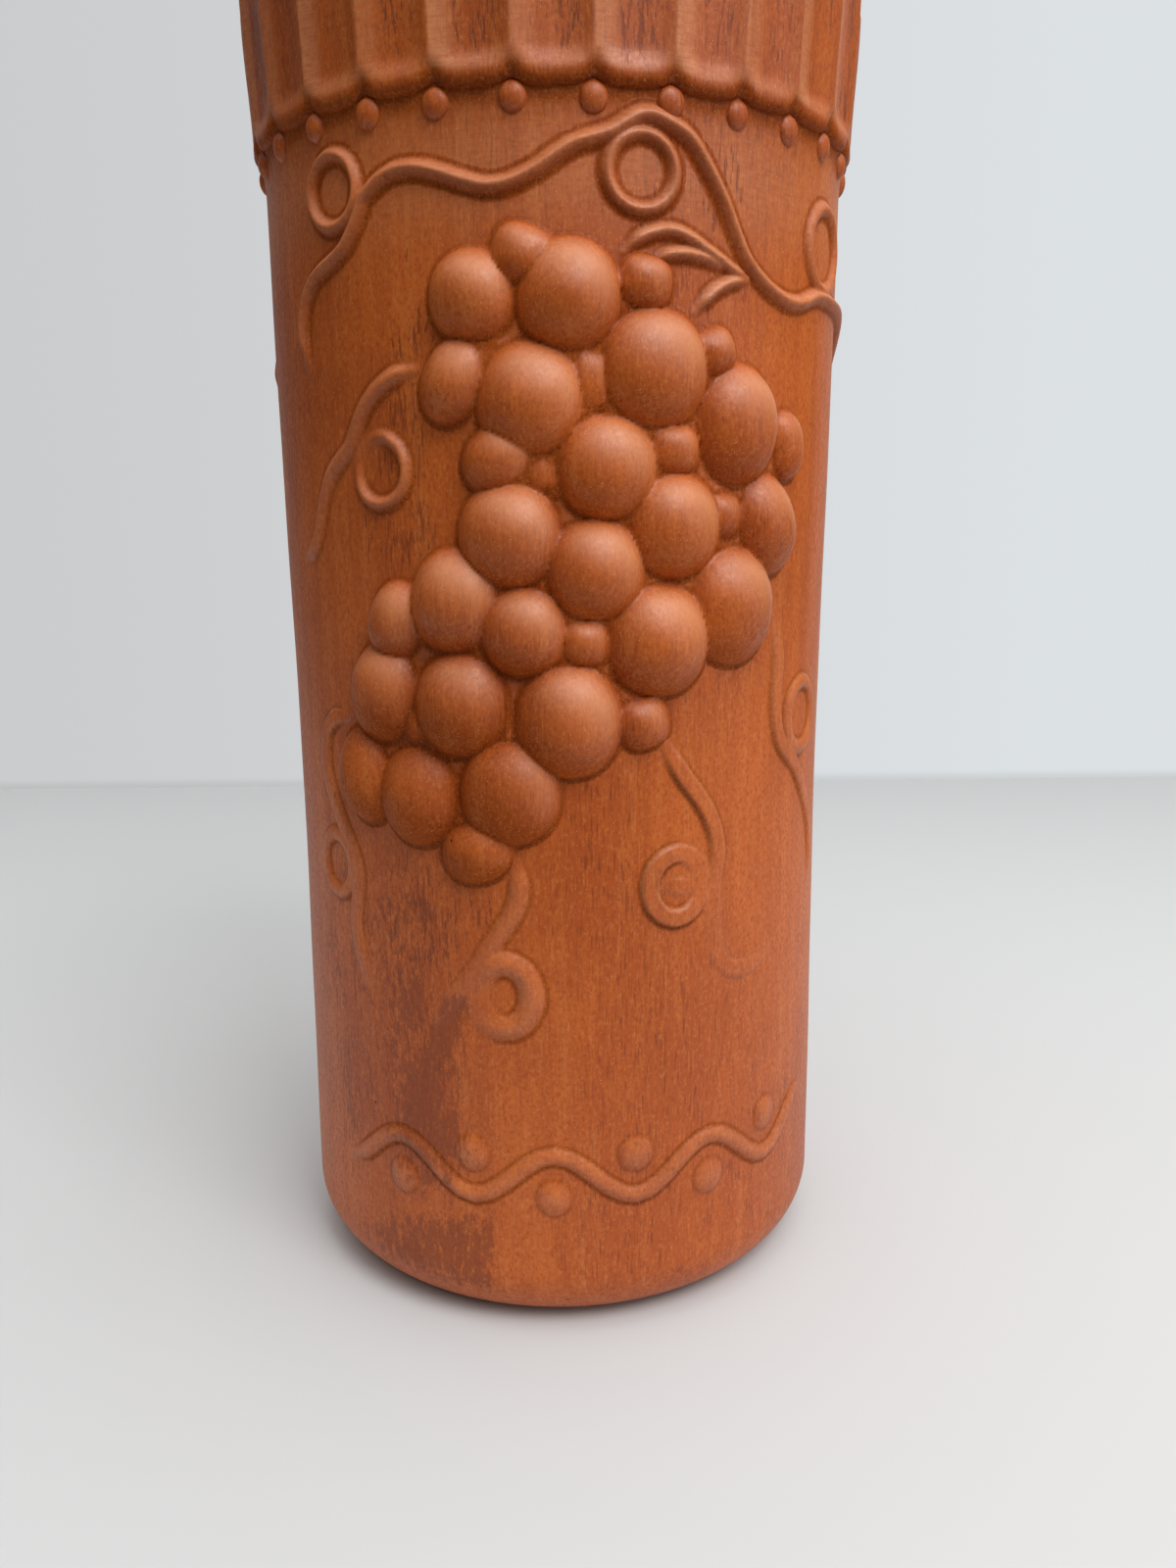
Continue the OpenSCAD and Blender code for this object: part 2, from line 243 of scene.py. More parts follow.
# %% A function for turned pieces
def turned_piece(name, section, columns, poles=True):
    """Carries a section of (radius, height) points round the axis. Its outer points follow
    the uneven wall. With poles, its first and last points are single."""
    skin_from = 49                 # points further out than this are on the outer face
    section = np.asarray(section, float)
    rim = section[1:-1] if poles else section
    turn = np.linspace(0, 2 * math.pi, columns, endpoint=False)[None, :]
    radius, height = rim[:, :1], rim[:, 1:]
    uneven = (wall_at(turn, height) - OUTSIDE) * ease((radius - skin_from) / 5)
    points = around(turn, height, radius + uneven).reshape(-1, 3)
    faces = grid_faces(len(rim), columns, wrap_rows=not poles, wrap_columns=True).tolist()
    if poles:
        first, last = len(points), len(points) + 1
        points = np.vstack([points, [0, 0, section[0, 1]], [0, 0, section[-1, 1]]])
        j = np.arange(columns)
        k, top = (j + 1) % columns, (len(rim) - 1) * columns
        faces += np.stack([np.full(columns, first), k, j], -1).tolist()
        faces += np.stack([top + j, top + k, np.full(columns, last)], -1).tolist()
    angle = np.arctan2(points[:, 0], -points[:, 1])
    stain = damp_at(angle, points[:, 2]) * (np.hypot(points[:, 0], points[:, 1]) > skin_from)
    return put_mesh(name, points, faces, {"damp": stain}, sharp=40)


def arc(centre, radius, start, end, steps):
    """Points on an arc round a centre, between two angles in degrees."""
    angle = np.radians(np.linspace(start, end, steps))
    return np.array(centre) + radius * np.stack([np.cos(angle), np.sin(angle)], -1)


# %% Turn the base
corner_round, floor_round = 12.5, 4
corner = arc((OUTSIDE - corner_round, corner_round), corner_round, -76, 0, 22)
foot = [(0, 1.5), (20, 1.5), (37.6, 1.5), (38.5, 1.25), (39.1, 0.6), (39.8, 0.1), (40.6, 0),
        (42.6, 0), (43.8, 0.15), (44.7, 0.5), (45.2, 0.85), (45.35, 1.05), (45.6, 1.1)]
well_floor = arc((WELL - floor_round, BASE_TOP), floor_round, 0, -90, 8)
section = np.vstack([foot, corner[2:], [(OUTSIDE, 13.3), (OUTSIDE, BASE_TOP)],
                     well_floor, [(24, 10), (0, 10)]])
settle(turned_piece("crock_base", section, 240), "terracotta", "base")

# %% [markdown]
# ## The wall
#
# One sheet for the outer face, on a grid of about 1.3 mm, and the plain round well inside
# it. The two are one closed tube: the section goes up the outside, over the top, and down
# the inside, where the clay is smooth and needs few points. Rows lie closer under the
# collar, where a painted dark line of shadow follows the scallops of its lower edge. A
# broad band just below the collar is painted paler, as painted light.

# %% Raise the wall
FLUTES = 28
collar_low, collar_high = 218.3, WALL_TOP


def flute_across(turn):
    """Where a point lies on its flute: -1 on the ridge at its left, 1 at its right."""
    step = 2 * math.pi / FLUTES
    return 2 * ((turn / step + 0.5) % 1) - 1


def tube(name, face, inside, marks, sharp, hidden_crease=0.0):
    """Closes an outer sheet with an inner one. The inner sheet has no marks, apart from the
    crease given for one that lies hidden in the clay."""
    bare = np.zeros(inside.shape[:2])
    marks = {key: np.concatenate([np.broadcast_to(values, face.shape[:2]),
                                  bare + (hidden_crease if key == "crease_shade_and_dirt" else 0)])
             for key, values in marks.items()}
    points = np.concatenate([face, inside])
    faces = grid_faces(*points.shape[:2], wrap_rows=True, wrap_columns=True).tolist()
    return put_mesh(name, points, faces, marks, sharp)


wall_columns = 270
turn = np.linspace(0, 2 * math.pi, wall_columns, endpoint=False)[None, :]
up_outside = np.concatenate([np.linspace(BASE_TOP, 213, 150), np.linspace(213.6, 222, 15),
                             np.linspace(224, WALL_TOP, 14)])[:, None]
down_inside = np.linspace(WALL_TOP, BASE_TOP, 14)[:, None]
scallops = collar_low + 0.6 * np.abs(flute_across(turn)) ** 3
wall = tube("crock_wall",
            around(turn, up_outside, wall_at(turn, up_outside)),
            around(turn, down_inside, WELL + 0.05 * np.sin(down_inside / 5)),
            # painted light and shade: a pale band below the collar stands in for light, and a
            # dark line under its scallops for its shadow
            {"damp": damp_at(turn, up_outside), "patina": skin_at(turn, up_outside),
             "wear_and_light": 0.45 * bell(up_outside, 207.5, 9),
             "crease_shade_and_dirt": 0.75 * bell(up_outside, scallops - 0.9, 1.7)}, sharp=50)
settle(wall, "terracotta", "wall")

# %% [markdown]
# ## The rim
#
# A plain lip with both edges rounded over. It is turned like the base, but it has a hole
# in the middle, so its section is a closed loop instead of a line from pole to pole.

# %% Turn the rim
rim_top, rim_outside, edge_round = 254, 56.5, 2.5
rim_section = np.vstack([
    [(WELL, WALL_TOP), (55.0, WALL_TOP), (56.2, 248.9), (rim_outside, 249.9)],
    arc((rim_outside - edge_round, rim_top - edge_round), edge_round, 0, 90, 9),
    arc((WELL + edge_round, rim_top - edge_round), edge_round, 90, 180, 9)])
settle(turned_piece("crock_rim", rim_section, 240, poles=False), "terracotta", "rim")

# %% [markdown]
# ## The fluted collar
#
# Twenty-eight upright hollows run side by side round the top, with a soft ridge between
# each two. They are hollows and not pads: with light from the right, the left side of each
# is bright. Each ends below in a U, so the collar's lower edge is a chain of scallops.
#
# The whole band is a single sheet: `across` runs from -1 to 1 over every flute, and the
# hollows, ridges and scallops come out of that one number. Hands wear the ridges pale and
# leave the old brown skin in the hollows, so each point keeps a mark for either. Light and
# shade are painted on as well: the left side of each hollow, which faces the light, and its
# upturned lower end are painted paler, and the underside of the lip, the notches and the
# right side of each hollow are painted darker.

# %% Shape the collar
columns = FLUTES * 26
turn = (np.arange(columns) + 0.5)[None, :] * 2 * math.pi / columns
across = flute_across(turn)
to_ridge = 1 - np.abs(across)
number = np.floor(turn / (2 * math.pi / FLUTES) + 0.5)
lean = np.sin(number * 2.4) * 0.5 + np.sin(number * 5.1 + 1) * 0.5      # no two are alike

# rows climb from the scalloped edge, and lie closer where the lip and the shoulder turn
roll = 0.11 * (1 - np.cos(np.linspace(0, math.pi / 2, 15)))
share = np.concatenate([roll, np.linspace(0.125, 0.86, 30), np.linspace(0.875, 1, 15)])[:, None]
low = collar_low + 0.12 * lean + 1.15 * np.abs(across) ** 3
height = low + share * (collar_high - low)
above = height - low

# the lip and the shoulder are rounded over, a little squarer than a circle
lip_height = 2.1 + 1.1 * np.abs(across) ** 3
lip = (1 - (1 - np.clip(above / lip_height, 0, 1)) ** 2.1) ** (1 / 2.1)
shoulder = (1 - np.clip((share - 0.89) / 0.11, 0, 1) ** 2.4) ** (1 / 2.4)

# a hollow is a parabola between two softened ridges, and is shallow at its lower end
soft_ridge = np.sqrt(to_ridge ** 2 + 0.03 ** 2) - 0.03
depth = (1.0 + 0.08 * lean) * (0.3 + 0.7 * ease((above - 2.2) / 3.2))
hollow = depth * (1 - (1 - soft_ridge) ** 2)
notch = 0.75 * bell(to_ridge, 0, 0.26) * (1 - ease((above - 0.6) / 4.2))
flare = 1.1 * ease((height - 221) / 25)
thick = 1.95 + flare - hollow - notch + 0.1 * lean * across
face = around(turn, height, 55.95 + thick * lip * shoulder - 1.0 * (1 - shoulder))
inside = around(turn, np.array([[collar_high], [collar_low + 2]]), 54.8)

# %% Wear the collar and paint its light and shade
# old skin stays in the hollows and ends below in short fingers
fingers = 1.1 * np.sin(across * 17 + number * 2) + 0.7 * np.sin(across * 31 + number * 5)
patina = (ease((0.80 - np.abs(across - 0.16 + 0.06 * lean)) / 0.42)
          * ease((above - 3.6 - fingers) / 2.2) * (0.58 + 0.2 * np.sin(number * 1.7)))
# made pale: the ridge by wear, and the left side of the hollow and its lower end, which face the
# light, as painted light
wear_and_light = (0.25 * bell(to_ridge, 0, 0.1)
        + 0.85 * ease((-across - 0.25) / 0.45) * ease((above - 1.8) / 1.5)
        + 0.5 * (1 - ease((above - 3.4) / 2.2)) * ease((above - 1.8) / 0.8))
# painted shade, with some dirt: under the lip, in the notches, and on the right side of the
# hollow, which faces away from the light
shade_and_dirt = (0.85 * (1 - ease(above / lip_height * 0.85)) + 0.6 * notch * lip
        + 0.24 * ease((across - 0.35) / 0.5) * ease((above - 2) / 3))
marks = {"patina": patina, "crease_shade_and_dirt": np.clip(shade_and_dirt, 0, 1),
         "wear_and_light": np.clip(wear_and_light, 0, 1) * (0.75 + 0.25 * np.sin(number * 3.3))}
collar = tube("fluted_collar_skin", face, inside, marks, sharp=80, hidden_crease=1.0)
settle(collar, "relief_clay", "fluted_collar")

# %% [markdown]
# ## The beads
#
# A small ball of clay sits under each ridge, tucked up against the collar's lip. Each bead
# is a few rings of points on a low dome, and all 28 are one array: the dome is worked out
# once and turned to each place.

# %% Press on the beads
rings, spokes = 7, 18
bead_height, bead_radius, bead_out, bead_circle = 216.8, 2.4, 1.15, 56.5
slope = np.linspace(0, 1, rings)[None, :, None]
spoke = np.linspace(0, 2 * math.pi, spokes, endpoint=False)[None, None, :]
number = np.arange(FLUTES)[:, None, None]
from_middle = (bead_radius + 0.1 * np.sin(number * 2.3)) * np.sin(slope * math.pi / 2)
dome = bead_out * np.cos(slope * math.pi / 2) ** 1.25 - 0.3 * slope ** 6
rise = bead_height + from_middle * np.cos(spoke) + 0.12 * np.sin(number * 1.9)
turn = (number + 0.5) * 2 * math.pi / FLUTES + from_middle * np.sin(spoke) / bead_circle
points = around(turn, rise, wall_at(turn, rise) + dome).reshape(-1, 3)
one = grid_faces(rings, spokes, wrap_columns=True)[:, ::-1]
faces = []
for bead in range(FLUTES):
    first = bead * rings * spokes
    faces += (one + first).tolist()
    faces.append(list(range(first + (rings - 1) * spokes, first + rings * spokes)))
# painted shade: each bead is darker on its low side, and on its top, which lies in the shadow of
# the lip
low_side, high_side = np.clip(-np.cos(spoke), 0, 1), np.clip(np.cos(spoke), 0, 1)
crease_shade_and_dirt = 0.6 * slope ** 4 * (0.1 + 0.9 * low_side) + 0.9 * slope ** 2 * high_side ** 2
marks = {"crease_shade_and_dirt": np.broadcast_to(np.clip(crease_shade_and_dirt, 0, 1), turn.shape)}
settle(put_mesh("bead_row", points, faces, marks), "relief_clay", "collar_beads")

# %% [markdown]
# ## Relief from height fields
#
# Pressed relief has no undercuts, so it is a height field: a function takes flat places on
# the wall, `across` and `up`, and gives how far the clay stands out there. Outside the
# relief it sinks very slowly, so the patch slips under the wall and its edge never shows.
#
# The patch is made solid: its faces are copied under the wall, turned over, and closed
# round the edge. An edge of the patch is one that only one face uses, and comparing arrays
# of edge numbers finds it without walking over the mesh.

# %% A function for relief
UNDER = 0.6            # how deep under the wall the hidden side lies
SHOWING = -0.03        # a face is kept if a corner of it stands higher than this


def relief_piece(name, field, left, right, bottom, top, step, back):
    """Grids the flat region, asks the field for heights and marks, keeps the faces that
    stand out or lie just under the wall, and closes them into a solid."""
    across = np.arange(left, right + step, step)[None, :]
    up = np.arange(bottom, top + step, step)[:, None]
    across, up = np.broadcast_arrays(across, up)
    out, marks = field(across, up)
    turn = across / PLAIN + (math.pi if back else 0)
    skin = around(turn, up, wall_at(turn, up) + out).reshape(-1, 3)
    under = around(turn, up, wall_at(turn, up) - UNDER).reshape(-1, 3)
    faces = grid_faces(*across.shape)
    faces = faces[out.ravel()[faces].max(1) > SHOWING]
    starts, ends = faces.ravel(), np.roll(faces, -1, axis=1).ravel()
    count = across.size
    lone = ~np.isin(starts * count + ends, ends * count + starts)
    s, e = starts[lone], ends[lone]
    walls = np.stack([e, s, s + count, e + count], -1)
    faces = np.concatenate([faces, faces[:, ::-1] + count, walls])
    used, renumbered = np.unique(faces, return_inverse=True)
    points = np.concatenate([skin, under])[used]
    marks = dict(marks, damp=damp_at(turn, up))
    marks = {key: np.tile(np.broadcast_to(m, across.shape).ravel(), 2)[used]
             for key, m in marks.items()}
    return put_mesh(name, points, renumbered.reshape(-1, 4).tolist(), marks, sharp=85)


def sink(edge):
    """How the skin leaves the relief: 0.006 proud at its edge, then down as 0.015 times the
    square of the distance, so the meeting with the wall is almost flat."""
    return 0.006 - 0.015 * np.maximum(edge, 0) ** 2


def both_sides(shape, node, field, *region):
    """Presses one relief on the front, and again on the back, half a turn round."""
    for side in ("front", "back"):
        piece = relief_piece(f"{side}_{shape}", field, *region, back=side == "back")
        settle(piece, "relief_clay", f"{side}_{node}")


# %% [markdown]
# ## The grapes
#
# The bunch is the heart of the piece: three dozen berries pushed up against each other.
# Each is a dome that meets the wall steeply. Where two meet, the higher one wins, and a
# soft maximum rounds the bottom of the crease between them by a tenth of a millimetre, as
# a tool or a mould would. The small berries lie lower, half behind the large ones.
#
# Every row below is a berry: angle, height, half its width, half its height, how far it
# stands out, and how far it leans, in degrees.

# %% The berries of a bunch
BERRIES = np.array([
    (-14.0, 188.1, 7.4, 7.5, 4.9, 0), (2.2, 188.1, 8.7, 9.0, 5.5, 0),
    (-5.4, 194.0, 5.4, 4.9, 3.5, 20), (15.1, 190.2, 4.8, 4.4, 3.2, 10),
    (-4.4, 172.0, 9.1, 9.3, 5.5, 10), (17.0, 177.0, 9.7, 9.8, 5.8, 0),
    (33.9, 168.6, 8.9, 10.3, 5.7, 0), (28.2, 180.1, 4.5, 4.2, 3.0, -20),
    (-17.6, 175.2, 5.6, 7.4, 4.0, 28), (5.9, 175.1, 4.4, 5.6, 1.9, 0),
    (-10.2, 163.0, 5.4, 6.6, 3.7, 48), (8.6, 161.3, 8.7, 8.8, 5.4, 0),
    (20.6, 164.3, 4.8, 4.2, 3.1, 0), (-8.4, 150.4, 8.9, 9.0, 5.5, 0),
    (6.6, 144.6, 8.6, 8.7, 5.4, 0), (21.0, 151.8, 8.9, 9.0, 5.5, 0),
    (30.9, 153.6, 3.7, 4.0, 2.6, 0), (41.8, 151.9, 7.1, 9.3, 5.0, -18),
    (47.1, 165.7, 4.1, 6.2, 3.4, -6), (33.7, 137.9, 9.3, 10.6, 5.8, 0),
    (18.3, 132.5, 9.6, 9.9, 5.8, 0), (-6.1, 134.4, 7.7, 7.8, 4.9, 0),
    (4.6, 132.6, 4.3, 4.2, 2.9, 0), (-18.7, 139.5, 8.3, 9.1, 5.3, 15),
    (-30.6, 135.9, 6.0, 7.3, 4.3, 25), (-34.2, 123.1, 7.8, 9.3, 5.2, 10),
    (-18.1, 121.6, 8.9, 9.4, 5.5, 0), (1.7, 119.0, 9.5, 10.2, 5.8, 0),
    (15.4, 118.4, 4.9, 4.8, 3.1, -12), (-27.1, 105.0, 8.1, 9.4, 5.3, 0),
    (-39.7, 107.6, 6.8, 9.2, 4.8, -8), (-9.2, 106.4, 9.2, 9.6, 5.5, 0),
    (-15.6, 95.6, 7.0, 6.0, 3.9, -20), (-26.4, 117.7, 3.6, 4.0, 1.9, 0),
    (-2.5, 160.4, 3.4, 3.8, 1.4, 0), (-13.0, 178.1, 3.3, 3.6, 1.4, 0)])


def bunch_field(across, up):
    """Soft maximum over the berries. A berry is a cap of a ball: with s the distance from
    its middle in radii, its height is root(k squared less s squared) less k, plus its
    stand-out, and k is the ball's own radius in the same measure. Between berries the
    ground is filled by 1.2 times a bell over the sum of the two nearest distances, and
    only where a third berry is near too, so the outline of the bunch stays crisp."""
    top = np.full(across.shape, -9.0)
    second = top.copy()
    edge, next_edge, third = (np.full(across.shape, 99.0) for _ in range(3))
    under, highlight_side = np.zeros(across.shape), np.zeros(across.shape)
    for number, (angle, height, wide, tall, stand, lean) in enumerate(BERRIES):
        x, y = across - np.radians(angle) * PLAIN, up - height
        c, s = math.cos(math.radians(lean)), math.sin(math.radians(lean))
        mean = math.sqrt(wide * tall)
        # the outline is squarer than an ellipse, the more so on the small ones in the gaps
        square = 2.15 if mean > 5.2 else 2.7
        away = (np.abs((c * x - s * y) / wide) ** square
                + np.abs((s * x + c * y) / tall) ** square) ** (1 / square)
        rise = stand / mean
        k = (1 + rise * rise) / (2 * rise)
        cap = mean * (np.sqrt(np.maximum(k * k - away ** 2, 0.02)) - k + rise)
        uneven = 0.10 * np.sin(x / 3.1 + number) + 0.08 * np.sin(y / 2.6 + 2 * number)
        cap = np.where(away < 1.25, cap + uneven * np.clip(1 - away, 0, 1) * 2, -9.0)
        # the next mask is the lower left of each berry: it is darkened as painted shade, and real
        # specks gather there
        under = np.where(cap > top, np.clip(0.1 - y / tall - 0.35 * x / wide, 0, 1), under)
        # the next mask is the upper right of each berry, where a painted highlight goes
        highlight_side = np.where(cap > top, ease(0.5 + 0.6 * y / tall + 0.35 * x / wide), highlight_side)
        second = np.maximum(second, np.minimum(top, cap))
        top = np.maximum(top, cap)
        far = (away - 1) * mean
        third = np.minimum(third, np.maximum(next_edge, far))
        next_edge = np.minimum(next_edge, np.maximum(edge, far))
        edge = np.minimum(edge, far)
    soft = 0.08
    dome = top + soft * np.log1p(np.exp(-np.clip(top - second, 0, 9) / soft))
    ground = (1.2 * bell(np.maximum(edge, 0) + np.maximum(next_edge, 0), 0, 2.4)
              * bell(np.maximum(third, 0), 0, 2.6))
    gap = dome - ground
    out = ground + np.maximum(gap, 0) + 0.16 * np.exp(-np.abs(gap) / 0.2)
    leaves = ease((edge - 0.1) / 0.6)
    out = out * (1 - leaves) + ground * leaves + sink(edge)
    # the creases between berries and the foot of the bunch are darkened as painted shade
    valley = np.exp(-np.clip(top - np.maximum(second, ground), 0, 9) / 0.3)
    line = np.maximum(valley * (top > -1), bell(edge, 0.15, 0.55))
    # the lower left of the bunch is made darker
    darker_lower_left = ease((138 - up) / 24) * ease((6 - across) / 18) * (top > 0)
    shade_and_dirt = line * (0.6 + 0.4 * under) + 0.12 * under ** 0.7 + 0.4 * darker_lower_left
    return out, {"crease_shade_and_dirt": np.clip(shade_and_dirt, 0, 1),
                 # the proud mark is a painted highlight on the upper right of each raised berry,
                 # with rubbing of its top
                 "proud": np.clip((top - 0.8) / 3.0, 0, 1) * highlight_side ** 3 * (1 - 0.85 * darker_lower_left),
                 "wear_and_light": 0.5 * ground / 1.2 * ease((edge + 0.2) / 0.5) * (1 - line),
                 "speck": under * np.clip(top / 2, 0, 1)}


both_sides("grapes", "grape_bunch", bunch_field, -49, 52, 84, 203, 0.43)

# %% [markdown]
# ## Vines, stalks and tendrils
#
# A thin roll of clay laid along a line is a ridge whose height depends on the distance
# from the line, and on nothing else. The line is drawn by a few points, joined by a curve
# that passes through each of them. Rings are the curls. High on the wall the rolls are
# round and crisp. Lower down the mould is worn, so the same rolls are flat bands, low, with
# pale edges. One number between 0 and 1 says how flat a line is.
#
# Distances are worked out for the whole grid at once, one short piece of line at a time.

# %% Lines on the wall
def smooth_line(table):
    """A Catmull-Rom curve through rows of (angle, height, strength), laid out flat. Between
    two rows it is a cubic, and at a row it heads from the row before to the row after. A row
    that gives no strength has a strength of 1."""
    p = np.array([(*row, 1)[:3] for row in table]) * (math.radians(1) * PLAIN, 1, 1)
    p = np.vstack([2 * p[0] - p[1], p, 2 * p[-1] - p[-2]])
    a, b, c, d = (p[i:len(p) - 3 + i, None, :] for i in range(4))
    t = np.linspace(0, 1, 6, endpoint=False)[None, :, None]      # six steps between two rows
    curve = (2 * b + (c - a) * t + (2 * a - 5 * b + 4 * c - d) * t ** 2
             + (3 * b - a - 3 * c + d) * t ** 3) / 2
    return np.vstack([curve.reshape(-1, 3), p[-2]])


def ring_line(angle, height, radius, tall=1.0, strength=1.0, fade=None):
    """A ring of points: the radius times the cosine across, and times the sine and `tall` up.
    It fades towards one side where an angle is given for it."""
    t = np.radians(np.arange(0, 361, 10))
    weak = 1 if fade is None else 1 - 0.8 * ease(np.cos(t - math.radians(fade)))
    return np.stack([np.radians(angle) * PLAIN + radius * np.cos(t),
                     height + radius * tall * np.sin(t), strength * weak * np.ones_like(t)], -1)


def ridge_field(lines, taper=6.0, rub_and_highlight=0.5):
    """Each line comes with its half-width, stand-out and flatness. With x the distance in
    half-widths, a round ridge is (1 less x to the 1.7) to the power 1.5, and a flat one is
    1 that eases to 0 over its outer third. Open ends taper over a few millimetres. Round
    tops are made pale by the share given, as wear and as painted highlight, with more painted
    highlight where they face up and painted shade where they face down: the slope is the
    change in stand-out for each millimetre up."""
    def field(across, up):
        out, wear_and_light, force = (np.zeros(across.shape) for _ in range(3))
        edge = np.full(across.shape, 99.0)
        for line, half_width, stand, flat in lines:
            length = np.concatenate([[0], np.cumsum(np.hypot(*np.diff(line[:, :2], axis=0).T))])
            closed = np.hypot(*(line[0, :2] - line[-1, :2])) < 0.01
            from_end = np.minimum(length, length[-1] - length)
            full = np.ones(len(line)) if closed else 0.25 + 0.75 * ease(from_end / taper)
            # only the part of the grid near the line is worked out
            reach = half_width + 2.5
            low, high = line.min(0) - reach, line.max(0) + reach
            window = np.ix_(np.flatnonzero((up[:, 0] > low[1]) & (up[:, 0] < high[1])),
                            np.flatnonzero((across[0] > low[0]) & (across[0] < high[0])))
            a, u = across[window], up[window]
            best = np.full(a.shape, 99.0)
            power, half = np.zeros(a.shape), np.full(a.shape, half_width)
            for (x0, y0, s0), (x1, y1, s1), f0, f1 in zip(line, line[1:], full, full[1:]):
                dx, dy = x1 - x0, y1 - y0
                along = (a - x0) * dx + (u - y0) * dy
                t = np.clip(along / max(dx * dx + dy * dy, 1e-9), 0, 1)
                away = np.hypot(a - x0 - t * dx, u - y0 - t * dy)
                closer = away < best
                here = f0 + (f1 - f0) * t
                power = np.where(closer, (s0 + (s1 - s0) * t) * here, power)
                half = np.where(closer, half_width * (0.45 + 0.55 * here), half)
                best = np.minimum(best, away)
            x = np.clip(best / half, 0, 1)
            shape = ((1 - flat) * (1 - x ** 1.7) ** 1.5
                     + flat * ease((1 - x) / 0.3) * (0.8 + 0.2 * x))
            out[window] = np.maximum(out[window], stand * power * shape)
            # pale edges of the flat bands and pale round tops: wear, and painted highlight
            pale_edge = 0.9 * flat * power * bell(best / half, 0.86, 0.17)
            pale_top = (1 - flat) * power * shape * rub_and_highlight
            wear_and_light[window] = np.maximum(wear_and_light[window], np.maximum(pale_edge, pale_top))
            nearest = best - half < edge[window]
            force[window] = np.where(nearest, power * ease(stand), force[window])
            edge[window] = np.minimum(edge[window], best - half)
        # faces that look up get a painted highlight, and faces that look down painted shade
        slope = np.gradient(out, axis=0) / np.gradient(up, axis=0)
        faces_up, faces_down = np.clip(-slope, 0, 1), np.clip(slope, 0, 1)
        return out + sink(edge), {
            # the foot of each ridge is darkened as painted shade
            "crease_shade_and_dirt": np.clip(0.7 * bell(edge, 0.1, 0.5) * force + 0.4 * faces_down, 0, 1),
            "wear_and_light": np.clip(wear_and_light * (1 - 0.5 * faces_down) + 0.5 * rub_and_highlight * faces_up, 0, 1)}
    return field


# %% [markdown]
# The main vine comes up on the left, rises round a curl, runs over the bunch in two swells,
# drops behind the grapes on the right, and goes on round the side.

# %% The vine
VINE = [(-51.4, 178.5, .5), (-51.9, 181.6, .7), (-52.3, 184.9, .9), (-51.6, 188.2),
        (-50.4, 190.8), (-48.5, 192.9), (-46, 194.5), (-42, 196.0), (-39, 197.6),
        (-36.5, 200.3), (-35, 202.6), (-34, 204.4), (-32, 205.9), (-30, 207), (-27, 207.9),
        (-23, 207.8), (-19, 206.8), (-15, 205.4), (-11, 204.4), (-7, 204.9), (-3, 206.6),
        (0, 208.5), (3, 210.2), (6, 211.1), (9, 212), (11.5, 213.4), (14, 214.7),
        (16.5, 214.8), (19, 214), (21.5, 213), (23.5, 211.6), (25.5, 209.3), (27.5, 206.7),
        (30, 203.1), (32, 199.6), (34, 196.5), (36, 194.3), (39, 192.3), (42, 190.9),
        (46, 189.9), (50, 190), (53, 190.8), (56, 191.8), (60, 192.3), (66, 192.2),
        (73, 191.9), (80, 190.5), (87, 187.2), (92, 182.4, .9), (94, 177, .8)]
vine_lines = [(smooth_line(VINE), 1.75, 1.55, 0),
              (ring_line(-41.2, 206.6, 5.6), 1.5, 1.4, 0.1),
              (ring_line(14.4, 206.6, 5.6), 1.45, 1.3, 0.1),
              (ring_line(60.7, 200.4, 6.9, 1.0, 0.85), 1.6, 1.3, 0.2)]
both_sides("vine_ridge", "vine", ridge_field(vine_lines, rub_and_highlight=0.65),
           -57, 98, 170, 219, 0.34)

# %% [markdown]
# Three short stalks spring from one point by the vine and curve down to the bunch.

# %% The stalks
stalk_lines = [(smooth_line(table), 1.5, 1.3, 0) for table in (
    [(11.5, 194.6, .8), (14, 196.8), (17, 198), (20, 198.3), (23, 197.5), (26, 196.1),
     (29, 194.7), (32, 193.3), (35.5, 192.4)],
    [(16.2, 193.3, .6), (19, 194.6), (22, 195), (25, 194.8, .9), (28, 194.3, .7),
     (32, 193.3, .6)],
    [(35.5, 192.2), (31.5, 191.4), (28.5, 190), (26.3, 188.2), (24.3, 186, .7)])]
both_sides("stalk_ridges", "stalks", ridge_field(stalk_lines, 3.5, rub_and_highlight=0.95),
           6, 40, 182, 203, 0.3)

# %% [markdown]
# Five tendrils with their curls hang beside and below the bunch. The one on the upper left
# is still round. The others are worn flat, and the broad loop under the middle is soft.

# %% The tendrils
upper_left = smooth_line([
    (-24.5, 177.3, .8), (-27.5, 177), (-30, 176.1), (-33, 174.4), (-35.5, 172.2),
    (-37.5, 169.7, .9), (-39, 167.2, .8), (-40.5, 165.2, .8), (-43, 163.4, .8),
    (-46, 161.1, .8), (-48, 158.2, .8), (-50, 154.5, .8), (-51.5, 151, .8), (-53, 148.8, .8),
    (-55, 147.3, .7), (-57.5, 146.3, .4)])
far_left = smooth_line([
    (-45, 118, .7), (-49.5, 117.1, .9), (-52.5, 114.6), (-53.7, 111.3), (-53.9, 108),
    (-52.8, 104.4), (-50.7, 100.6), (-48.3, 96.8, .9), (-46, 93.5, .8), (-44.3, 90, .8),
    (-43.8, 86.4, .8), (-44.6, 82.6, .8), (-45.2, 78.7, .8), (-44.9, 74.9, .7),
    (-43.8, 71.4, .5), (-42.3, 67.4, .3)])
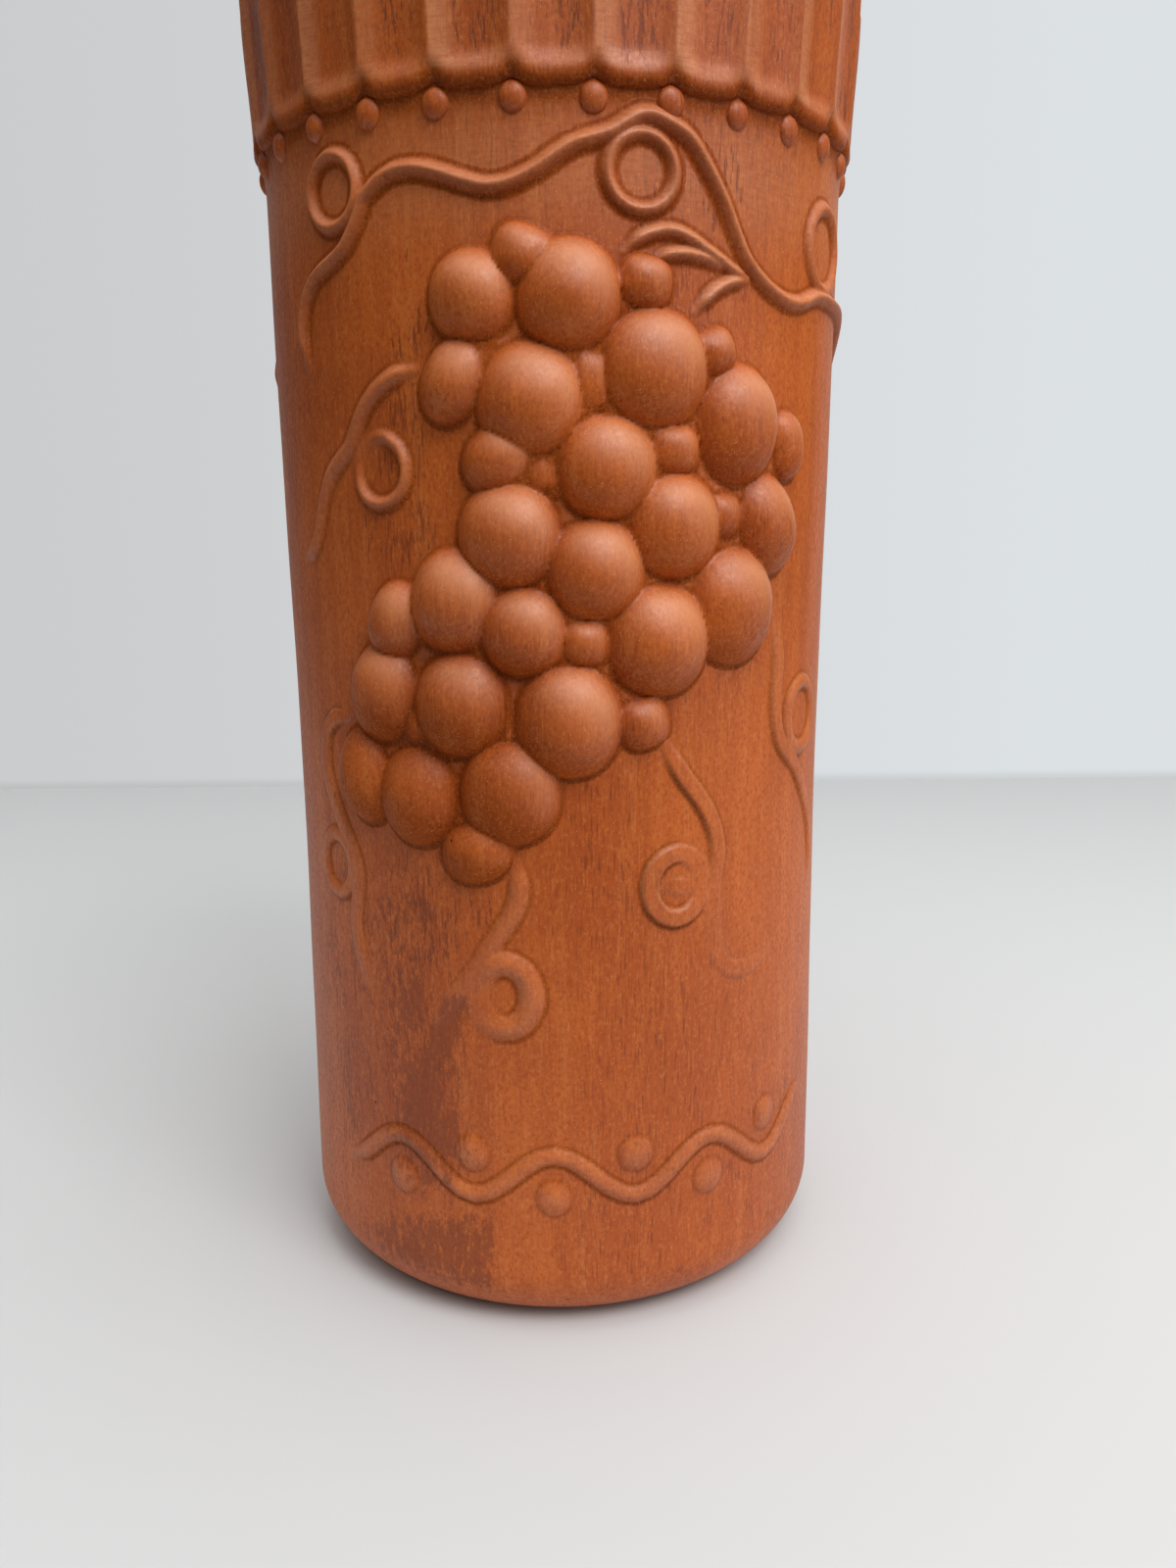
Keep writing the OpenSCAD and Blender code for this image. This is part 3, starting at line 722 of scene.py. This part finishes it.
under_bunch = smooth_line([
    (-8.5, 94.2, .8), (-7.8, 90.2, .9), (-8.1, 86.6, .9), (-9.7, 83.3, .9), (-11.9, 80.2, .8),
    (-14, 77, .7), (-16, 73.8, .6), (-18.3, 70.6, .5), (-21, 67.3, .35), (-24, 63.6, .2)])
lower_right = smooth_line([
    (19.8, 114.2, .9), (23, 109), (26.3, 104.8), (29.3, 100.5), (31, 96, .9), (31.3, 92, .75),
    (30.4, 87.6, .35), (30.6, 80, .12), (32, 73.4, .2), (34.6, 70.4, .32), (38.5, 69.4, .32),
    (42.5, 70.1, .25), (45.5, 71.6, .1)])
lens = smooth_line([(20.6, 88.4, .9), (22.8, 88.1), (25.0, 87.8, .9)])
far_right = smooth_line([
    (46.9, 134.5, .6), (47.4, 127.3, .9), (46.9, 121), (47.4, 116), (48.9, 112.2),
    (51.6, 109.4), (55, 106.9, .9), (58.3, 103.4, .9), (61.4, 99.6, .8), (64.5, 95.2, .8),
    (66.8, 90.3, .8), (67.8, 85, .7), (67, 80, .4)])
tendril_lines = [
    (upper_left, 1.9, 1.3, 0.1), (ring_line(-32.7, 161.4, 5.3, 1.06, fade=140), 1.5, 1.25, 0),
    (far_left, 1.9, 0.85, 0.7), (ring_line(-51, 88.8, 5.1, 1.12, .8), 1.6, 0.95, 0.5),
    (under_bunch, 2.0, 0.95, 0.35), (ring_line(-11, 68.7, 5.1, 1.22, fade=195), 2.7, 1.1, 0.2),
    (lower_right, 1.8, 1.0, 0.85), (ring_line(22.2, 88.2, 5.4, 1.12, fade=20), 1.9, 1.0, 0.8),
    (lens, 2.5, 0.6, 0.9),
    (far_right, 1.8, 0.85, 0.7), (ring_line(57.8, 116, 6, 1.08, .9), 1.7, 0.95, 0.4)]
both_sides("tendril_ridges", "tendrils", ridge_field(tendril_lines, 5.0),
           -60, 72, 58, 183, 0.38)

# %% [markdown]
# ## The border near the foot
#
# A low running stem that swings up or down seven times, with a bud in each hollow. It is
# soft and worn, as relief near the foot of such a crock usually is, so its ridges are broad
# and barely a millimetre high. The buds are low domes, taken into the same field.

# %% The border
SWINGS, border_middle, border_rise = 7, 33.0, 4.5
bud_radius, bud_out = 3.7, 0.95


def along_border(swing):
    """Where a swing lies on the flat wall: the border runs 112 degrees from 50 degrees left."""
    return np.radians(-50 + 112 * swing / SWINGS) * PLAIN


swing = np.linspace(0, SWINGS, SWINGS * 6 + 1)
stem = np.stack([along_border(swing), border_middle - border_rise * np.cos(swing * math.pi),
                 np.ones_like(swing)], -1)
stem_field = ridge_field([(stem, 1.9, 0.9, 0.35)])
bud = np.arange(1, SWINGS)
bud_across = along_border(bud)
bud_up = border_middle + 0.9 * border_rise * np.cos(bud * math.pi)


def border_field(across, up):
    """The stem, or a bud where that is higher. With x the distance in radii, a bud is its
    stand-out times (1 less x squared) to the power 1.1."""
    out, marks = stem_field(across, up)
    away = np.min(np.hypot(across[..., None] - bud_across, (up[..., None] - bud_up) / 1.08), -1)
    dome = bud_out * np.clip(1 - (away / bud_radius) ** 2, 0, 1) ** 1.1
    dome += sink(away - bud_radius)
    # the ring round the foot of each bud is darkened as painted shade, and the bud tops are made
    # pale as wear and painted highlight
    crease_shade_and_dirt = np.maximum(marks["crease_shade_and_dirt"], 0.4 * bell(away, 3.5, 0.5))
    wear_and_light = np.maximum(marks["wear_and_light"], 0.35 * np.maximum(dome, 0))
    return np.maximum(out, dome), {"crease_shade_and_dirt": crease_shade_and_dirt, "wear_and_light": wear_and_light}


both_sides("border_ridge", "border", border_field, -54, 65, 22, 44, 0.4)

# %% [markdown]
# ## Helpers for materials
#
# A material is a tree of nodes. One helper adds a node and feeds its inputs in one line,
# either with a plain value or with another node's output, which keeps each tree readable.

# %% Node helpers
def add(tree, kind, feeds=None, **settings):
    """Adds a shader node: settings are its own choices, feeds go to its inputs by name or
    number."""
    made = tree.nodes.new("ShaderNode" + kind)
    for key, value in settings.items():
        setattr(made, key, value)
    for key, value in (feeds or {}).items():
        if isinstance(value, bpy.types.NodeSocket):
            tree.links.new(value, made.inputs[key])
        else:
            made.inputs[key].default_value = value
    return made


def mixed(tree, share, a, b):
    """A colour between two: a where the share is 0, b where it is 1."""
    return add(tree, "Mix", {0: share, 6: a, 7: b}, data_type="RGBA").outputs[2]


def worked(tree, operation, a, b):
    """One step of arithmetic on two values."""
    return add(tree, "Math", {0: a, 1: b}, operation=operation).outputs[0]


def times(tree, a, b):
    """The product of two values."""
    return worked(tree, "MULTIPLY", a, b)


def ramped(tree, value, low, high, to_low=0.0, to_high=1.0):
    """Carries a value smoothly from one range to another."""
    return add(tree, "MapRange", {0: value, 1: low, 2: high, 3: to_low, 4: to_high},
               interpolation_type="SMOOTHSTEP").outputs[0]


def stretched(tree, vector, x, y, z):
    """Scales a place along each axis, which stretches a pattern the other way."""
    return add(tree, "VectorMath", {0: vector, 1: (x, y, z)}, operation="MULTIPLY").outputs[0]


def noise(tree, vector, scale, detail, roughness=0.55):
    """A cloud pattern. The scale counts its lumps in a metre."""
    return add(tree, "TexNoise", {"Vector": vector, "Scale": scale, "Detail": detail,
                                  "Roughness": roughness}).outputs[0]


def new_group(name, inputs, outputs):
    """Starts a node group with named sockets and gives its tree, its way in and its way out."""
    tree = bpy.data.node_groups.new(name, "ShaderNodeTree")
    for key, kind, value in inputs:
        socket = tree.interface.new_socket(key, in_out="INPUT", socket_type=kind)
        if value is not None:
            socket.default_value = value
    for key, kind in outputs:
        tree.interface.new_socket(key, in_out="OUTPUT", socket_type=kind)
    way_in, way_out = tree.nodes.new("NodeGroupInput"), tree.nodes.new("NodeGroupOutput")
    return tree, way_in.outputs, way_out.inputs


NUMBER, VECTOR = "NodeSocketFloat", "NodeSocketVector"

# %% [markdown]
# ## Brushed, mottled clay
#
# Fired red clay is never one colour. It clouds between orange and brown over a few
# centimetres, the wet brush that smoothed the wall leaves faint upright bands and hairs,
# and the grains of the clay mottle it at a third of a millimetre. All four are one cloud
# pattern at four scales, squeezed along the height where lumps have to become lines.

# %% The group for brushed clay
patterns = {"Clouds": (0.6, 26, 4.0, 0.6), "Bands": (0.05, 330, 4.0, 0.62),
            "Mottle": (0.7, 1500, 4.0, 0.75), "Hairs": (0.10, 2400, 2.0, 0.6)}
tree, given, asked = new_group("brushed clay", [("Place", VECTOR, None)],
                               [(name, NUMBER) for name in patterns])
for name, (squeeze, *choices) in patterns.items():
    place = stretched(tree, given["Place"], 1, 1, squeeze)
    tree.links.new(noise(tree, place, *choices), asked[name])
brushed_group = tree

# %% [markdown]
# ## Specks and pits
#
# Coarse clay holds grains of pale grit, and where a grain has dropped out it leaves a
# pinhole. Both come from cells: the distance to the middle of a cell is small in a dot,
# and a second pattern decides which cells get one, so the dots gather in clusters.

# %% The group for specks and pits
tree, given, asked = new_group("specks and pits",
                               [("Place", VECTOR, None), ("Amount", NUMBER, 0.3)],
                               [("Specks", NUMBER), ("Pits", NUMBER)])
place = given["Place"]
cells = add(tree, "TexVoronoi", {"Vector": place, "Scale": 2900.0})
choice = add(tree, "SeparateColor", {0: cells.outputs["Color"]})
cluster = ramped(tree, noise(tree, place, 300, 2.0), 0.4, 0.65, 0.12, 1.0)
chosen = worked(tree, "LESS_THAN", choice.outputs[0], times(tree, given["Amount"], cluster))
dot = ramped(tree, cells.outputs["Distance"], 0.36, 0.16)
tree.links.new(times(tree, dot, chosen), asked["Specks"])
holes = add(tree, "TexVoronoi", {"Vector": place, "Scale": 240.0})
rare = add(tree, "SeparateColor", {0: holes.outputs["Color"]})
few = worked(tree, "LESS_THAN", rare.outputs[1], 0.05)
hole = ramped(tree, holes.outputs["Distance"], 0.085, 0.05)
tree.links.new(times(tree, hole, few), asked["Pits"])
specks_group = tree

# %% [markdown]
# ## Painted shade and light, dirt, wear and damp
#
# Use leaves its marks where a hand or a cloth does or doesn't reach: the hollows of the
# collar keep their old brown skin and the stain is mottled. Light and shade are painted
# on the same marks: creases and undersides are darkened with painted shade as well as dirt,
# and raised edges and the sides that face the light are made pale with painted highlight
# as well as wear. Each mark was stored on the mesh as a number. Here it is broken up by
# noise, because a mark with a clean edge looks painted on.

# %% The group for painted shade and light, dirt, wear and damp
tree, given, asked = new_group(
    "painted shade and light with dirt wear and damp",
    [("Place", VECTOR, None), ("Crease", NUMBER, 0.0), ("Patina", NUMBER, 0.0),
     ("Wear and light", NUMBER, 0.0), ("Damp", NUMBER, 0.0)],
    [("Dirt and shade", NUMBER), ("Skin", NUMBER), ("Bare and lit", NUMBER), ("Stain", NUMBER)])
place = given["Place"]
# the first output darkens where the crease mark is, which is painted shade with some dirt, broken
# up by grit
grit = noise(tree, place, 2200, 3.0, 0.7)
tree.links.new(times(tree, given["Crease"], ramped(tree, grit, 0.36, 0.6, 0.4, 1.0)),
               asked["Dirt and shade"])
# the old skin is what lies above a limit that falls as the mark grows
dashes = noise(tree, stretched(tree, place, 1, 1, 0.14), 1700, 4.0, 0.72)
patches = noise(tree, stretched(tree, place, 1, 1, 0.5), 130, 4.0, 0.6)
level = worked(tree, "ADD", dashes, times(tree, patches, 0.55))
level = worked(tree, "ADD", level, times(tree, given["Patina"], 0.34))
skin = ramped(tree, level, 1.0, 1.1)
tree.links.new(times(tree, skin, ramped(tree, given["Patina"], 0.02, 0.3)), asked["Skin"])
# the pale output follows the wear mark, which is wear and painted highlight
# rubbing across the ridges leaves level scratches, the same noise squeezed the other way
scratches = noise(tree, stretched(tree, place, 0.16, 0.16, 1), 2200, 3.0, 0.6)
tree.links.new(times(tree, given["Wear and light"], ramped(tree, scratches, 0.3, 0.62, 0.45, 1.0)),
               asked["Bare and lit"])
# the stain is another limit, on fine mottling
mottle = noise(tree, stretched(tree, place, 1, 1, 0.4), 900, 6.0, 0.8)
limit = ramped(tree, given["Damp"], 0.0, 1.0, 0.66, 0.37)
stain = ramped(tree, worked(tree, "SUBTRACT", mottle, limit), -0.05, 0.07)
tree.links.new(times(tree, stain, ramped(tree, given["Damp"], 0.03, 0.35)), asked["Stain"])
shade_and_wear_group = tree

# %% [markdown]
# ## The clay itself
#
# Both finishes are the same clay, built by one function. The relief shows a little more
# grit and is a touch waxier, since it is the part that hands and cloths reach. Fired clay
# is dull, but handling gives it a faint wax: the roughness is a little under a half, which
# puts a broad soft light near the top of each berry. Bumps are written in millimetres, and
# the Bump node is told that one unit is one millimetre.

# %% Make the clay
BODY, DARK = (0.56, 0.118, 0.0125, 1), (0.36, 0.061, 0.006, 1)
# the rubbed colour serves worn clay and painted highlight, the soot colour dirt and painted
# shade; SHADE is the old skin's colour
PALE, RUBBED_AND_LIT = (0.66, 0.22, 0.060, 1), (0.71, 0.30, 0.138, 1)
SHADE, SOOT_AND_SHADE = (0.19, 0.034, 0.0075, 1), (0.085, 0.018, 0.006, 1)
DAMP = (0.20, 0.035, 0.005, 1)
GRIT, HOLE = (0.70, 0.34, 0.17, 1), (0.02, 0.009, 0.006, 1)


def clay(name, speck_amount, gloss):
    """Terracotta: its body colour, with every other colour mixed over it by a share times a
    mask. The speck amount is the share of grains that show, the gloss how waxy it is."""
    material = bpy.data.materials.new(name)
    material.use_nodes = True
    tree = material.node_tree
    tree.nodes.clear()
    place = add(tree, "TexCoord").outputs["Object"]

    def mark(key):
        return add(tree, "Attribute", attribute_name=key).outputs["Fac"]

    def group(which, feeds):
        node = add(tree, "Group", node_tree=which)
        for key, value in feeds.items():
            tree.links.new(value, node.inputs[key])
        return node.outputs

    brushed = group(brushed_group, {"Place": place})
    shade_and_wear = group(shade_and_wear_group, {"Place": place, "Crease": mark("crease_shade_and_dirt"),
                              "Patina": mark("patina"), "Wear and light": mark("wear_and_light"),
                              "Damp": mark("damp")})
    amount = ramped(tree, mark("speck"), 0.0, 1.0, speck_amount, speck_amount + 0.42)
    dots = group(specks_group, {"Place": place, "Amount": amount})

    colour = mixed(tree, ramped(tree, brushed["Clouds"], 0.36, 0.66, 0.0, 0.7), BODY, DARK)
    for pattern, low, high, share, tint in (
            ("Bands", 0.44, 0.66, 0.38, DARK), ("Bands", 0.48, 0.30, 0.22, PALE),
            ("Mottle", 0.49, 0.66, 0.8, DARK), ("Mottle", 0.48, 0.32, 0.42, PALE),
            ("Hairs", 0.42, 0.28, 0.3, PALE)):
        mask = ramped(tree, brushed[pattern], low, high, 0.0, share)
        colour = mixed(tree, mask, colour, tint)
    # dark hairs come in clusters, where the clouds are dark
    hairs = times(tree, ramped(tree, brushed["Hairs"], 0.55, 0.68),
                  ramped(tree, brushed["Clouds"], 0.44, 0.62, 0.12, 0.7))
    colour = mixed(tree, hairs, colour, SHADE)
    # the proud and bare masks lay painted highlight as well as wear, and the dark mask painted
    # shade as well as dirt
    for mask, share, tint in (
            (mark("proud"), 0.6, RUBBED_AND_LIT), (shade_and_wear["Bare and lit"], 0.6, RUBBED_AND_LIT),
            (shade_and_wear["Skin"], 0.72, SHADE), (shade_and_wear["Stain"], 0.66, DAMP),
            (shade_and_wear["Dirt and shade"], 0.75, SOOT_AND_SHADE), (dots["Specks"], 0.62, GRIT), (dots["Pits"], 0.92, HOLE)):
        colour = mixed(tree, times(tree, mask, share), colour, tint)

    height = times(tree, brushed["Mottle"], 0.05)
    for value, share in ((brushed["Hairs"], 0.03), (brushed["Bands"], 0.05),
                         (dots["Specks"], 0.03), (dots["Pits"], -0.15), (shade_and_wear["Skin"], -0.03)):
        height = worked(tree, "ADD", height, times(tree, value, share))
    bump = add(tree, "Bump", {"Height": height, "Distance": 0.001, "Strength": 1.0})
    rough = ramped(tree, brushed["Mottle"], 0.3, 0.7, 0.40, 0.54)

    # the crease mark, with its dirt and painted shade, and the specks are dull, so the gloss
    # drops where they are
    dulled = worked(tree, "ADD", mark("crease_shade_and_dirt"), times(tree, mark("speck"), 0.45))
    shine = ramped(tree, dulled, 0.0, 0.7, gloss, 0.06)
    shader = add(tree, "BsdfPrincipled", {
        "Base Color": colour, "Roughness": rough, "Normal": bump.outputs[0],
        "Specular IOR Level": shine})
    add(tree, "OutputMaterial", {0: shader.outputs[0]})
    return material


terracotta = clay("terracotta", 0.05, 0.40)
relief_clay = clay("relief clay", 0.08, 0.48)

# %% Dress every piece
for slot, material in (("terracotta", terracotta), ("relief_clay", relief_clay)):
    for piece in pieces_of[slot]:
        piece.data.materials.append(material)
    print(material.name, "covers", [piece.name for piece in pieces_of[slot]])

# %% [markdown]
# ## The table and the light
#
# The crock stands on pale paper, just under half a metre before a pale wall. A soft window
# lights it from the right and a lamp from above, so its left side falls into shade and
# every berry has a bright top and a dark lower side. The room is brighter overhead, like
# one with a white ceiling, which keeps the shadow on the paper faint. The wall glows with
# painted light, brighter towards the right, and is painted a little darker just above the
# paper as painted shade. That glow is what the camera sees of the wall, and towards the
# right what the clay reflects, so no lamp has to reach it.

# %% The paper
def sheet_of_paper(name, run, climb):
    """A sheet along a line of places behind the crock, carried sideways."""
    side = np.linspace(-0.55, 0.62, 9)[None, :]
    points = np.stack(np.broadcast_arrays(side, run[:, None], climb[:, None]), -1) / MM
    sheet = put_mesh(name, points, grid_faces(len(run), 9).tolist(), sharp=180)
    finish = bpy.data.materials.new(name)
    finish.use_nodes = True
    sheet.data.materials.append(finish)
    return finish.node_tree


tree = sheet_of_paper("paper_floor", np.linspace(-0.24, 0.45, 9), np.zeros(9))
shader = tree.nodes["Principled BSDF"]
shader.inputs["Base Color"].default_value = (0.60, 0.612, 0.618, 1)
shader.inputs["Roughness"].default_value = 0.9
shader.inputs["Specular IOR Level"].default_value = 0.2

tree = sheet_of_paper("paper_wall", np.full(9, 0.449), np.linspace(0.0, 0.64, 9))
tree.nodes["Principled BSDF"].inputs["Base Color"].default_value = (0.60, 0.61, 0.62, 1)
place = add(tree, "TexCoord").outputs["Object"]
split = add(tree, "SeparateXYZ", {0: place})
# painted light: the wall glows brighter and bluer towards the right, as if lit by the window
lit_towards_right = ramped(tree, split.outputs["X"], -0.34, 0.36)
# painted shade: the glow is a little darker just above the paper
shaded_near_floor = ramped(tree, split.outputs["Z"], 0.0005, 0.006, 0.86, 1.0)
seen = mixed(tree, lit_towards_right, (0.60, 0.604, 0.61, 1), (0.72, 0.755, 0.775, 1))
glow = add(tree, "Emission", {"Color": seen, "Strength": shaded_near_floor})
ray = add(tree, "LightPath")
# painted reflection: glossy rays see the painted glow too, more of it towards the right
mirrored = times(tree, ray.outputs["Is Glossy Ray"], lit_towards_right)
direct = worked(tree, "MAXIMUM", ray.outputs["Is Camera Ray"], mirrored)
lit = tree.nodes["Principled BSDF"].outputs[0]
both = add(tree, "MixShader", {0: direct, 1: lit, 2: glow.outputs[0]})
tree.links.new(both.outputs[0], tree.nodes["Material Output"].inputs[0])

# %% The lamps
def lamp(name, azimuth, lift, distance, size, power):
    """A square soft white lamp that faces the middle of the crock, from an angle to the
    right of the front and an angle above level."""
    data = bpy.data.lights.new(name, "AREA")
    data.shape, data.size, data.energy = "SQUARE", size, power
    made = new_object(name, data)
    azimuth, lift = math.radians(azimuth), math.radians(lift)
    away = Vector((math.sin(azimuth) * math.cos(lift), -math.cos(azimuth) * math.cos(lift),
                   math.sin(lift)))
    made.location = Vector((0, 0, 0.13)) + away * distance
    made.rotation_euler = away.to_track_quat("Z", "Y").to_euler()
    made.visible_camera = False


lamp("window", 66, 12, 1.25, 0.8, 2.4)
lamp("ceiling lamp", 31, 48, 0.85, 0.4, 3.6)
world = bpy.data.worlds.new("pale room")
bpy.context.scene.world = world
world.use_nodes = True
tree = world.node_tree
facing = add(tree, "TexCoord").outputs["Generated"]
brightest = add(tree, "VectorMath", {0: facing, 1: (0.16, -0.16, 0.974)},
                operation="DOT_PRODUCT").outputs["Value"]
sky = tree.nodes["Background"]
sky.inputs["Color"].default_value = (1.0, 0.99, 0.98, 1)
# what the camera sees past the paper is pale too, but that lights nothing
seen_directly = add(tree, "LightPath").outputs["Is Camera Ray"]
lights = ramped(tree, brightest, 0.45, 1.0, 0.06, 1.95)
strength = add(tree, "Mix", {0: seen_directly, 2: lights, 3: 0.68}, data_type="FLOAT")
tree.links.new(strength.outputs[0], sky.inputs["Strength"])
bpy.context.scene.view_settings.view_transform = "Standard"
